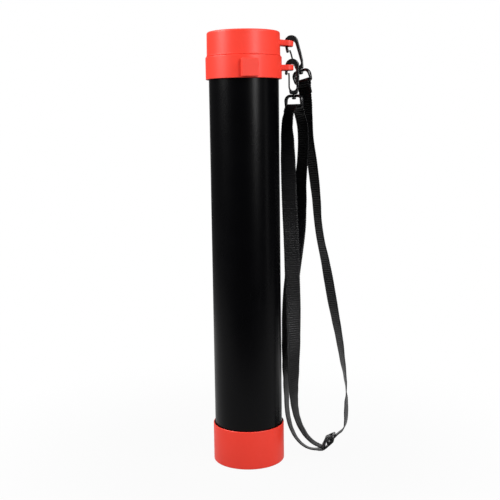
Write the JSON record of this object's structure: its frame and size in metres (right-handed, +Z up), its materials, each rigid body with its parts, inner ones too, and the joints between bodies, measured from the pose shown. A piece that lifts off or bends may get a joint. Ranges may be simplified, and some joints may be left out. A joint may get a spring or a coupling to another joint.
{
  "type": "pickleball pickup tube",
  "caption": "Long ball pickup and storage tube with a sprung-finger mouth in its base cap, a pull-off lid and a shoulder strap on two swivel snap hooks.",
  "frame": {"origin": "on the tube's axis, in the plane that the base cap stands on", "axes": "+Z up the tube to the lid, +X from the axis towards the two lugs and the strap, -Y towards the raised pad on the collar"},
  "size_m": [0.1715, 0.0955, 0.522],
  "materials": {
    "red_shell": "satin moulded",
    "black_tube": "semi-gloss extruded",
    "black_soft_plastic": "matte moulded",
    "black_hook_plastic": "satin moulded",
    "rivet_steel": "plain",
    "black_webbing": "ribbed webbing"
  },
  "bodies": {
    "frame": {"tube_barrel": "black_tube", "base_cap": "red_shell", "ball_gate_ring": "black_soft_plastic", "collar": "red_shell", "shoulder_strap": "black_webbing"},
    "lid": {"lid": "red_shell"},
    "hook_a": {"hook_a_body": "black_hook_plastic", "hook_a_rivet": "rivet_steel"},
    "eye_a": {"hook_a_eye": "black_hook_plastic"},
    "gate_a": {"hook_a_gate": "black_hook_plastic"},
    "hook_b": {"hook_b_body": "black_hook_plastic", "hook_b_rivet": "rivet_steel"},
    "eye_b": {"hook_b_eye": "black_hook_plastic"},
    "gate_b": {"hook_b_gate": "black_hook_plastic"},
    "finger_1": {"finger_1": "black_soft_plastic"},
    "finger_2": {"finger_2": "black_soft_plastic"},
    "finger_3": {"finger_3": "black_soft_plastic"},
    "finger_4": {"finger_4": "black_soft_plastic"},
    "finger_5": {"finger_5": "black_soft_plastic"},
    "finger_6": {"finger_6": "black_soft_plastic"},
    "slider": {"strap_slider": "black_hook_plastic"}
  },
  "joints": [
    {"name": "lid_lift", "type": "slide", "parent": "frame", "child": "lid", "axis": [0, 0, 1], "range_m": [0, 0.045], "deforming": ["shoulder_strap"]},
    {"name": "hook_a_swing", "type": "hinge", "parent": "lid", "child": "hook_a", "pos_m": [0.05679, 0.003, 0.50767], "axis": [0, -1, 0], "range_deg": [-1, 15], "deforming": ["shoulder_strap"]},
    {"name": "eye_a_swivel", "type": "hinge", "parent": "hook_a", "child": "eye_a", "pos_m": [0.05906, 0.003, 0.50828], "axis": [-0.2588, 0, 0.9659], "range_deg": [-40, 40], "deforming": ["shoulder_strap"]},
    {"name": "gate_a_spring", "type": "hinge", "parent": "hook_a", "child": "gate_a", "pos_m": [0.0625, 0.003, 0.4807], "axis": [0, 1, 0], "range_deg": [0, 18], "stiffness_Nm_per_rad": 0.25},
    {"name": "hook_b_swing", "type": "hinge", "parent": "frame", "child": "hook_b", "pos_m": [0.05685, -0.003, 0.4801], "axis": [0, -1, 0], "range_deg": [-4, 22], "deforming": ["shoulder_strap"]},
    {"name": "eye_b_swivel", "type": "hinge", "parent": "hook_b", "child": "eye_b", "pos_m": [0.0592, -0.003, 0.4801], "axis": [0, 0, 1], "range_deg": [-40, 40], "deforming": ["shoulder_strap"]},
    {"name": "gate_b_spring", "type": "hinge", "parent": "hook_b", "child": "gate_b", "pos_m": [0.0554, -0.003, 0.4526], "axis": [0, 1, 0], "range_deg": [0, 18], "stiffness_Nm_per_rad": 0.25},
    {"name": "finger_1_flex", "type": "hinge", "parent": "frame", "child": "finger_1", "pos_m": [0.03369, 0.01945, 0.00815], "axis": [-0.5, 0.866, 0], "range_deg": [0, 6], "stiffness_Nm_per_rad": 0.3},
    {"name": "finger_2_flex", "type": "hinge", "parent": "frame", "child": "finger_2", "pos_m": [0, 0.0389, 0.00815], "axis": [-1, 0, 0], "range_deg": [0, 6], "stiffness_Nm_per_rad": 0.3},
    {"name": "finger_3_flex", "type": "hinge", "parent": "frame", "child": "finger_3", "pos_m": [-0.03369, 0.01945, 0.00815], "axis": [-0.5, -0.866, 0], "range_deg": [0, 6], "stiffness_Nm_per_rad": 0.3},
    {"name": "finger_4_flex", "type": "hinge", "parent": "frame", "child": "finger_4", "pos_m": [-0.03369, -0.01945, 0.00815], "axis": [0.5, -0.866, 0], "range_deg": [0, 6], "stiffness_Nm_per_rad": 0.3},
    {"name": "finger_5_flex", "type": "hinge", "parent": "frame", "child": "finger_5", "pos_m": [0, -0.0389, 0.00815], "axis": [1, 0, 0], "range_deg": [0, 6], "stiffness_Nm_per_rad": 0.3},
    {"name": "finger_6_flex", "type": "hinge", "parent": "frame", "child": "finger_6", "pos_m": [0.03369, -0.01945, 0.00815], "axis": [0.5, 0.866, 0], "range_deg": [0, 6], "stiffness_Nm_per_rad": 0.3},
    {"name": "slider_slide", "type": "slide", "parent": "frame", "child": "slider", "axis": [0.7133, 0, 0.7009], "range_m": [-0.006, 0.006], "deforming": ["shoulder_strap"]}
  ],
  "couplings": [
    {"joint": "finger_2_flex", "follows": "finger_1_flex", "ratio": 1},
    {"joint": "finger_3_flex", "follows": "finger_1_flex", "ratio": 1},
    {"joint": "finger_4_flex", "follows": "finger_1_flex", "ratio": 1},
    {"joint": "finger_5_flex", "follows": "finger_1_flex", "ratio": 1},
    {"joint": "finger_6_flex", "follows": "finger_1_flex", "ratio": 1}
  ]
}
